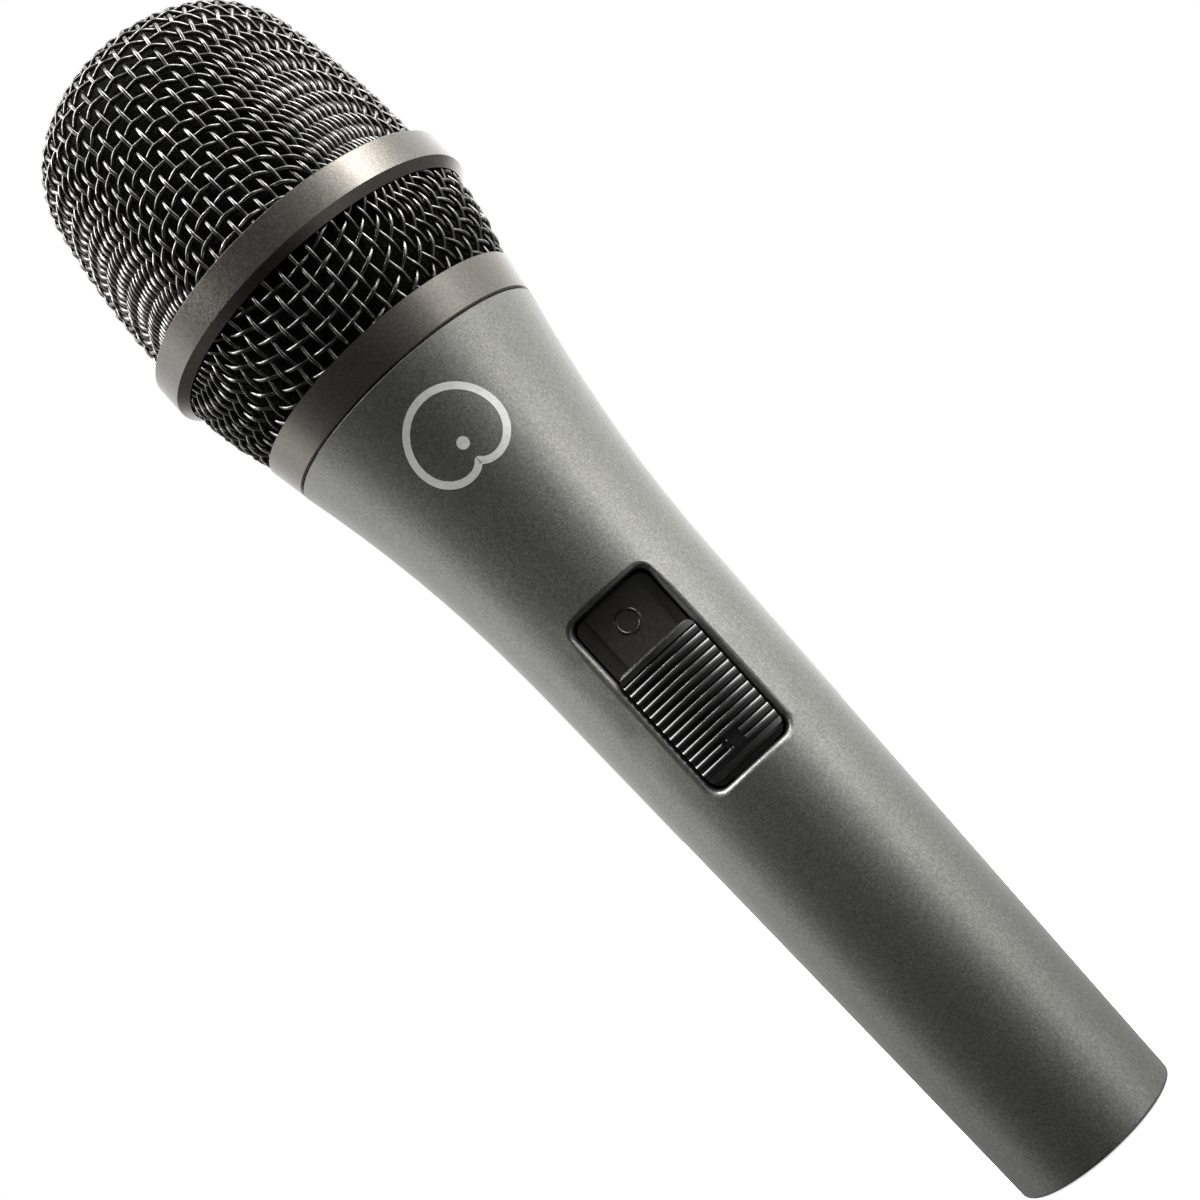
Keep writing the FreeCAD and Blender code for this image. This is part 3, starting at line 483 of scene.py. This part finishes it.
def band_profile():
    """Radius and height of the bowl that the lower band was cut from, from its bottom up."""
    wall = arc_through(BAND_FOOT, BAND_MIDDLE, BAND_TOP, 80)
    slope = math.atan2(*(wall[1] - wall[0]))
    centre = wall[0] + BOWL_CORNER_R * np.array([-math.cos(slope), math.sin(slope)])
    angles = np.linspace(0, math.pi / 2 - slope, 40)[::-1]
    corner = [centre + BOWL_CORNER_R * np.array([math.cos(slope + a), -math.sin(slope + a)]) for a in angles]
    floor = [np.array([r, corner[0][1]]) for r in np.arange(0, corner[0][0], PROFILE_STEP)]
    rise = [np.array([wall[-1][0], z]) for z in np.arange(BAND_TOP[1] + PROFILE_STEP, BOWL_RIM_Z, PROFILE_STEP)]
    return np.array(floor + corner[:-1] + list(wall) + rise)


def laid_cloth(profile, shape, angle=0.0, twist=0.0):
    """A function that lays points (u, v) of the flat cloth on a former: the plain radial lay, bent by shape.
    It gives the places, the outward normals and the distances from the pole."""
    length = np.r_[0, np.cumsum(np.hypot(*np.diff(profile, axis=0).T))]
    slopes = np.gradient(profile, length, axis=0)
    side = 1 if profile[0][1] > profile[-1][1] else -1
    pulls, turns = shape.reshape(2, LAY_POWERS, LAY_WAVES)

    def lay(u, v):
        out, bearing = np.hypot(u, v), np.arctan2(v, u)
        powers = (out[..., None] / CLOTH_SPAN) ** np.arange(2, 2 + LAY_POWERS)
        waves = 4 * np.arange(1, 1 + LAY_WAVES) * bearing[..., None]
        along = out + CLOTH_SPAN * (powers @ pulls * (1 - np.cos(waves))).sum(-1)
        turn = bearing + (powers @ turns * np.sin(waves)).sum(-1) + angle + twist * along / CLOTH_SPAN
        r, z, rise_r, rise_z = (np.interp(along, length, row) for row in (*profile.T, *slopes.T))
        spots = np.stack([r * np.cos(turn), r * np.sin(turn), z], -1)
        normals = np.stack([-rise_z * np.cos(turn), -rise_z * np.sin(turn), rise_r], -1) * side
        return spots, normals, along
    return lay


def cloth_misfit(profile, reach, pitch, shape):
    """How far the laid cloth's cells are from their woven size, over an eighth of the cloth."""
    steps = np.arange(0, reach, pitch)
    u, v = np.meshgrid(steps, steps, indexing="ij")
    spots, _, along = laid_cloth(profile, shape)(u, v)
    weight = (v <= u) / (1 + np.exp(along - reach))
    low, high, every = slice(None, -1), slice(1, None), slice(None)
    errors = [shape * SHAPE_WEIGHT]
    for a, b in (((low, every), (high, every)), ((every, low), (every, high))):
        size = np.linalg.norm(spots[b] - spots[a], axis=-1) / pitch
        errors.append(((size - 1) * np.minimum(weight[a], weight[b])).ravel())
    for a, b in (((low, low), (high, high)), ((high, low), (low, high))):
        size = np.linalg.norm(spots[b] - spots[a], axis=-1) / pitch
        shown = np.minimum(weight[a], weight[b])
        errors.append((np.maximum(LOCK_SHARE - size, 0) * shown).ravel())
        errors.append(((size - math.sqrt(2)) * shown * SHEAR_WEIGHT).ravel())
    return np.concatenate(errors)


def drawn_cloth(profile, cloth):
    """Finds the lay that keeps every wire's length as the cloth is drawn over its former."""
    known = profile, cloth["reach"], cloth["pitch"]
    shape = np.zeros(2 * LAY_POWERS * LAY_WAVES)
    errors, damping = cloth_misfit(*known, shape), 0.01
    for _ in range(DRAW_ROUNDS):
        nudges = np.eye(len(shape)) * DRAW_NUDGE
        slopes = np.array([(cloth_misfit(*known, shape + nudge) - errors) / DRAW_NUDGE for nudge in nudges])
        normal = slopes @ slopes.T
        normal += damping * np.diag(np.diag(normal) + DRAW_NUDGE)
        trial = shape - np.linalg.solve(normal, slopes @ errors)
        trial_errors = cloth_misfit(*known, trial)
        if trial_errors @ trial_errors < errors @ errors:
            shape, errors, damping = trial, trial_errors, damping / 5
        else:
            damping *= 4
    return laid_cloth(profile, shape, math.radians(cloth["turn"]), math.radians(cloth["twist"]))


def woven_paths(lay, cloth, heights, across):
    """Centre lines and normals of one family of wires, weaving over and under the other family."""
    paths = []
    pitch, shift = cloth["pitch"], cloth["shift"]
    reach = cloth["reach"] + pitch
    count = int(reach / pitch) + 1
    walk = np.arange(-reach, reach, pitch / STEPS_PER_CELL)
    for k in range(-count, count + 1):
        still = np.full_like(walk, k * pitch + shift[across])
        spots, out, along = lay(walk, still) if across else lay(still, walk)
        crossing = (walk - shift[1 - across]) / pitch + k
        swing = (CRIMP if across else -CRIMP) * np.cos(math.pi * crossing)
        line = spots + out * (swing - WIRE_D / 2 - CRIMP)[:, None]
        inside = (line[:, 2] > heights[0]) & (line[:, 2] < heights[1]) & (along < reach)
        edges = np.nonzero(np.diff(np.r_[0, inside.astype(int), 0]))[0]
        paths += [(line[a:b], out[a:b]) for a, b in zip(edges[::2], edges[1::2]) if b - a > SHORTEST_WIRE]
    return paths


def round_strokes(name, paths, radius, material, body):
    """Round tubes along centre lines, all in one mesh."""
    points, faces, count = [], [], 0
    ring = np.arange(WIRE_SIDES) * 2 * math.pi / WIRE_SIDES
    for line, out in paths:
        along = np.gradient(line, axis=0)
        along /= np.linalg.norm(along, axis=1, keepdims=True)
        beside = np.cross(along, out)
        beside /= np.linalg.norm(beside, axis=1, keepdims=True)
        above = np.cross(beside, along)
        circle = beside[:, None] * np.cos(ring)[None, :, None] + above[:, None] * np.sin(ring)[None, :, None]
        points.append((line[:, None] + circle * radius).reshape(-1, 3))
        for k in range(len(line) - 1):
            for s in range(WIRE_SIDES):
                t = (s + 1) % WIRE_SIDES
                a, b = count + k * WIRE_SIDES, count + (k + 1) * WIRE_SIDES
                faces.append((a + s, b + s, b + t, a + t))
        last = count + (len(line) - 1) * WIRE_SIDES
        faces.append(tuple(range(count, count + WIRE_SIDES)))
        faces.append(tuple(range(last + WIRE_SIDES - 1, last - 1, -1)))
        count += len(line) * WIRE_SIDES
    return piece(name, np.vstack(points), faces, material, body)


def grille_wires(material):
    """The dome's and the band's woven wire, each drawn as one sheet."""
    jobs = (("dome", "grille_dome_mesh", dome_profile(), DOME_CLOTH),
            ("band", "grille_lower_mesh", band_profile(), BAND_CLOTH))
    for word, node, profile, cloth in jobs:
        lay = drawn_cloth(profile, cloth)
        heights = [corner.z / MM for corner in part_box(node)]
        for across, family in ((0, "warp"), (1, "weft")):
            paths = woven_paths(lay, cloth, heights, across)
            wires = round_strokes(word + "_wires_" + family, paths, WIRE_D / 2, material, "grille")
            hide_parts(node)


def lathed_shell(name, outside, inside, material, body, lump=0.0, turns=180):
    """A closed shell turned about the axis between two profiles; lump roughens its surface."""
    rows = np.vstack([outside, inside[::-1]])
    angles = np.arange(turns) * 2 * math.pi / turns
    points, faces = [], []
    for r, z in rows:
        for angle in angles:
            spot = Vector((r * math.cos(angle), r * math.sin(angle), z))
            rough = noise.fractal(spot / FOAM_GRAIN, 1.0, 2.0, 2) * lump
            points.append(((r + rough) * math.cos(angle), (r + rough) * math.sin(angle), z))
    count = len(rows)
    for i in range(count):
        for k in range(turns):
            a, b = i * turns, (i + 1) % count * turns
            faces.append((a + k, a + (k + 1) % turns, b + (k + 1) % turns, b + k))
    return piece(name, points, faces, material, body)


def inset_profile(profile, inset):
    """The profile moved inwards along its own normal."""
    along = np.gradient(profile, axis=0)
    along /= np.linalg.norm(along, axis=1, keepdims=True)
    turned = np.stack([-along[:, 1], along[:, 0]], 1)
    side = np.sign(turned[len(turned) // 2, 0]) or 1
    return profile - turned * side * inset


def foam_liners(material):
    """Foam that fills the head just behind the wires."""
    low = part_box("foam_dome_liner")[0].z / MM
    profile = dome_profile()
    outside = inset_profile(profile, 2 * WIRE_D + FOAM_GAP)
    inside = inset_profile(profile, 2 * WIRE_D + FOAM_GAP + FOAM_DOME_T)
    outside = outside[(outside[:, 1] > low) & (outside[:, 0] > POLE_HOLE_R)][::FOAM_ROWS]
    inside = inside[(inside[:, 1] > low) & (inside[:, 0] > POLE_HOLE_R)][::FOAM_ROWS]
    dome = lathed_shell("foam_dome", outside, inside, material, "grille", FOAM_LUMP)
    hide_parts("foam_dome_liner")
    low, high = (corner.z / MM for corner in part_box("foam_band_liner"))
    wall = arc_through(BAND_FOOT, BAND_MIDDLE, BAND_TOP, 60)
    wall = np.vstack([wall, [[BAND_TOP[0], z] for z in np.arange(BAND_TOP[1] + 0.3, high, 0.3)]])
    wall = wall[(wall[:, 1] > low) & (wall[:, 1] < high)]
    outer = wall - [2 * WIRE_D + FOAM_GAP, 0]
    band = lathed_shell("foam_band", outer, outer - [FOAM_BAND_T, 0], material, "grille", FOAM_LUMP)
    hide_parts("foam_band_liner")


def thread_ridge(name, root, crest, low_z, high_z, material, body):
    """A right-hand thread's ridge, fading in and out at its ends."""
    turns = (high_z - low_z) / THREAD_LEAD
    steps = int(turns * THREAD_STEPS)
    points, faces = [], []
    for k in range(steps + 1):
        angle = 2 * math.pi * (k / THREAD_STEPS)
        z = low_z + THREAD_LEAD * k / THREAD_STEPS
        fade = min(1.0, k / THREAD_FADE_STEPS, (steps - k) / THREAD_FADE_STEPS)
        tip = root + (crest - root) * max(fade, THREAD_LEAST)
        for r, rise in ((root, -THREAD_FOOT), (tip, -THREAD_CREST), (tip, THREAD_CREST), (root, THREAD_FOOT)):
            points.append((r * math.cos(angle), r * math.sin(angle), z + rise / 2))
        if k < steps:
            a, b = 4 * k, 4 * k + 4
            faces += [(a + i, b + i, b + (i + 1) % 4, a + (i + 1) % 4) for i in range(4)]
    last = 4 * steps
    faces += [(3, 2, 1, 0), (last, last + 1, last + 2, last + 3)]
    return piece(name, points, faces, material, body, smooth=False)


def threads(handle_material, ring_material):
    """The neck's thread and, half a turn's lead above it, the collar's."""
    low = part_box("grille_washer")[1].z / MM + THREAD_START
    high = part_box("handle_body")[1].z / MM - THREAD_END
    thread_ridge("neck_thread", NECK_ROOT_R, NECK_CREST_R, low, high, handle_material,
                 "handle")
    start, end = (low + rise for rise in COLLAR_THREAD)
    thread_ridge("collar_thread", COLLAR_ROOT_R, COLLAR_CREST_R, start, end, ring_material,
                 "grille")


# ---------------------------------------------------------------- print and legends

def front_surface(node):
    """A function that gives the height of a node's front surface at (x, z), in millimetres."""
    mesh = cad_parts[node].data
    tree = BVHTree.FromPolygons([v.co for v in mesh.vertices], [p.vertices for p in mesh.polygons])

    def surface(x, z):
        hit = tree.ray_cast(Vector((x * MM, SIGHT_Y, z * MM)), Vector((0, 1, 0)))
        return hit[0].y / MM
    return surface


def cardioid(offset):
    """The heart-shaped pick-up pattern, with its outline moved out by offset."""
    rows = []
    for k in range(MARK_STEPS):
        angle = 2 * math.pi * k / MARK_STEPS - math.pi / 2
        reach = MARK_A * (MARK_DIMPLE + math.sin(angle))
        rows.append((reach * math.cos(angle), reach * math.sin(angle)))
    rows = np.array(rows)
    along = np.roll(rows, -1, 0) - np.roll(rows, 1, 0)
    along /= np.linalg.norm(along, axis=1, keepdims=True)
    return rows + np.stack([along[:, 1], -along[:, 0]], 1) * offset


def printed_loop(name, outer, inner, node, material, body):
    """A closed printed line between two loops of (x, z), laid on a node's front surface."""
    surface = front_surface(node)
    points, faces, count = [], [], len(outer)
    for loop, lift in ((outer, 0.0), (outer, PRINT_T), (inner, PRINT_T), (inner, 0.0)):
        points += [(x, surface(x, z) - lift, z) for x, z in loop]
    for row in range(4):
        a, b = row * count, (row + 1) % 4 * count
        for k in range(count):
            n = (k + 1) % count
            faces.append((a + k, a + n, b + n, b + k))
    return piece(name, points, faces, material, body, smooth=False)


def circle(x, z, r, count=40):
    angles = np.arange(count) * 2 * math.pi / count
    return np.stack([x + r * np.cos(angles), z + r * np.sin(angles)], 1)


def pattern_mark(material):
    """A plain cardioid pick-up symbol on the flare, with a dot for the cartridge."""
    centre = np.array([0, MARK_Z])
    outer, inner = cardioid(MARK_STROKE / 2) + centre, cardioid(-MARK_STROKE / 2) + centre
    printed_loop("pattern_outline", outer, inner, "handle_body", material, "handle")
    dot_z = MARK_Z + MARK_DOT_RISE
    printed_loop("pattern_dot", circle(0, dot_z, MARK_DOT_R), circle(0, dot_z, DOT_HOLE_R), "handle_body",
                 material, "handle")


def off_ring(material):
    """The usual ring for off, moulded on the legend plate as a raised round-backed stroke."""
    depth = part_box("switch_frame")[0].y / MM + OFF_STROKE / 2 - OFF_RISE
    loop = circle(*OFF_PLACE, OFF_R)
    x, z = np.vstack([loop, loop[:2]]).T
    line = np.stack([x, np.full_like(x, depth), z], 1)
    out = np.tile((0.0, -1.0, 0.0), (len(line), 1))
    round_strokes("off_ring", [(line, out)], OFF_STROKE / 2, material, "handle")


# ---------------------------------------------------------------- camera, floor and light

def front_camera():
    """Looks at the front from a hand's length away, rolled so that the head is up and to the left."""
    data = bpy.data.cameras.new("camera")
    data.lens = LENS
    data.sensor_width = SENSOR
    data.clip_start = 0.01
    camera = bpy.data.objects.new("camera", data)
    bpy.context.scene.collection.objects.link(camera)
    right, back = Vector(CAMERA_RIGHT), Vector(CAMERA_BACK)
    up = back.cross(right).normalized()
    turn = Matrix((right, up, back)).transposed()
    camera.matrix_world = Matrix.Translation(CAMERA_PLACE) @ turn.to_4x4()
    bpy.context.scene.camera = camera


def white_floor():
    """A broad pale sheet under the microphone that reads as seamless white."""
    corners = [(-FLOOR_HALF, -FLOOR_HALF, 0), (FLOOR_HALF, -FLOOR_HALF, 0),
               (FLOOR_HALF, FLOOR_HALF, 0), (-FLOOR_HALF, FLOOR_HALF, 0)]
    mesh = bpy.data.meshes.new("floor")
    mesh.from_pydata(corners, [], [(0, 1, 2, 3)])
    floor = bpy.data.objects.new("floor", mesh)
    bpy.context.scene.collection.objects.link(floor)
    floor.location.z = -FLOOR_DROP
    material, tree, surface, place = blank("floor_paper", Roughness=0.9)
    mottle = grain(tree, place, MOTTLE)
    plug(tree, surface, Base_Color=tint(tree, mottle, ["f6f6f6", "fbfbfb"]))
    surface.inputs["Emission Color"].default_value = linear(WHITE)
    surface.inputs["Emission Strength"].default_value = FLOOR_GLOW
    mesh.materials.append(material)
    floor.visible_glossy = False
    floor.visible_diffuse = False


def studio_world():
    """A white surround. Reflections see a darker room in front and below, and its brightest part on the
    right."""
    world = bpy.data.worlds.new("studio")
    bpy.context.scene.world = world
    world.use_nodes = True
    tree = world.node_tree
    tree.nodes.clear()
    way = add(tree, "SeparateXYZ", {"Vector": add(tree, "TexCoord").outputs["Generated"]}).outputs
    towards = add(tree, "Math", {0: way["Y"], 1: -1.0}, operation="MULTIPLY").outputs[0]
    angle = add(tree, "Math", {0: way["X"], 1: towards}, operation="ARCTAN2").outputs[0]
    around = spread(tree, angle, 0.0, 1.0, -math.pi, math.pi)
    stops = [((degrees + 180) / 360, (*[light / ROOM_PEAK] * 3, 1.0)) for degrees, light in ROOM_LIGHT]
    round_light = ramp(tree, around, stops)
    lift = spread(tree, way["Z"], ROOM_LOW, ROOM_HIGH, *ROOM_RISE)
    room = add(tree, "Math", {0: round_light, 1: lift}, operation="MULTIPLY").outputs[0]
    room = add(tree, "Math", {0: room, 1: ROOM_PEAK}, operation="MULTIPLY").outputs[0]
    camera_sees = add(tree, "LightPath").outputs["Is Camera Ray"]
    strength = add(tree, "Mix", {"Factor": camera_sees, "A": room, "B": 1.0}).outputs[0]
    sky = add(tree, "Background", {"Color": linear(WHITE), "Strength": strength})
    output = add(tree, "OutputWorld")
    tree.links.new(sky.outputs[0], output.inputs["Surface"])


def area_light(name, place, target, size, power):
    data = bpy.data.lights.new(name, "AREA")
    data.shape = "RECTANGLE"
    data.size, data.size_y = size
    data.energy = power
    data.color = linear(WHITE)[:3]
    lamp = bpy.data.objects.new(name, data)
    bpy.context.scene.collection.objects.link(lamp)
    lamp.location = place
    lamp.rotation_mode = "QUATERNION"
    lamp.rotation_quaternion = (Vector(target) - Vector(place)).to_track_quat("-Z", "Z")


def studio_lights():
    """Large soft boxes high on both sides, and a small one overhead, that draw the glints."""
    for name, box in SOFT_BOXES.items():
        area_light(name, *box)


# ---------------------------------------------------------------- the making

def finish_cad_nodes(materials):
    """Gives every CAD node that stays in view its real finish."""
    for node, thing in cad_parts.items():
        thing.data.materials.clear()
        thing.data.materials.append(materials[node])


def soften_edges():
    """Moulded and cast edges are a little round and catch the light; the legend plate's, the collar's and the
    belt ring's sharper edges are bevelled so.
    """
    for node, width in SOFT_EDGES:
        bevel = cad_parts[node].modifiers.new("edge", "BEVEL")
        bevel.width = width * MM
        bevel.segments = 2
        bevel.limit_method = "ANGLE"
        bevel.angle_limit = math.radians(EDGE_ANGLE)
        bevel.harden_normals = True


def main():
    bpy.context.scene.view_settings.view_transform = "Standard"
    front_camera()
    white_floor()
    studio_world()
    studio_lights()

    lacquer, rings, wire, foam = handle_lacquer(), ring_lacquer(), plated_wire(), open_cell_foam()
    gloss = black_abs("gloss_abs", ["141313", "1b1a19", "242221"], 0.16, 0.28)
    satin = black_abs("satin_abs", ["1d1a19", "272321", "322e2c"], 0.3, 0.42)
    nylon = spark_textured_plastic("glass_filled_nylon", ["141415", "1e1e20", "2b2b2d"], 0.5, 0.3)
    silver, nickel, steel = silver_plate(), nickel_plate(), ground_steel()
    brass, winding, film = rolled_spring_brass(), enamelled_winding(), polyester_film()
    red = pvc_insulation("red_pvc", ["7c130f", "9c1f18"])
    blue = pvc_insulation("blue_pvc", ["12235f", "1e3a86"])
    ink = pad_printed_ink("pale_ink", "cfcfcc", "b8b8b5")
    finish_cad_nodes({
        "handle_body": lacquer, "grille_collar": rings, "grille_belt_ring": rings,
        "grille_lower_mesh": wire, "grille_dome_mesh": wire, "foam_band_liner": foam, "foam_dome_liner": foam,
        "switch_slider": gloss, "switch_tongue": gloss, "switch_frame": satin, "switch_housing": nylon,
        "switch_screws": nickel, "switch_terminals": silver, "switch_detent_spring": brass,
        "contact_bridge": brass, "connector_shell": nickel, "connector_insert": nylon, "connector_pins": silver,
        "connector_screw": nickel, "ground_spring": brass, "shock_mount": moulded_rubber(),
        "cartridge_housing": nylon, "cartridge_cap": nylon, "cartridge_screen": acoustic_cloth(),
        "cartridge_backplate": nylon, "cartridge_terminals": silver, "magnet_yoke": steel,
        "magnet": sintered_magnet(), "pole_piece": steel, "voice_coil": winding, "diaphragm": film,
        "diaphragm_surround": film, "grille_washer": vulcanised_fibre(), "lead_connector_hot": red,
        "lead_connector_cold": blue, "lead_cartridge_hot": red, "lead_cartridge_cold": blue,
    })
    grille_wires(wire)
    foam_liners(foam)
    threads(lacquer, rings)
    pattern_mark(ink)
    off_ring(gloss)
    soften_edges()


main()
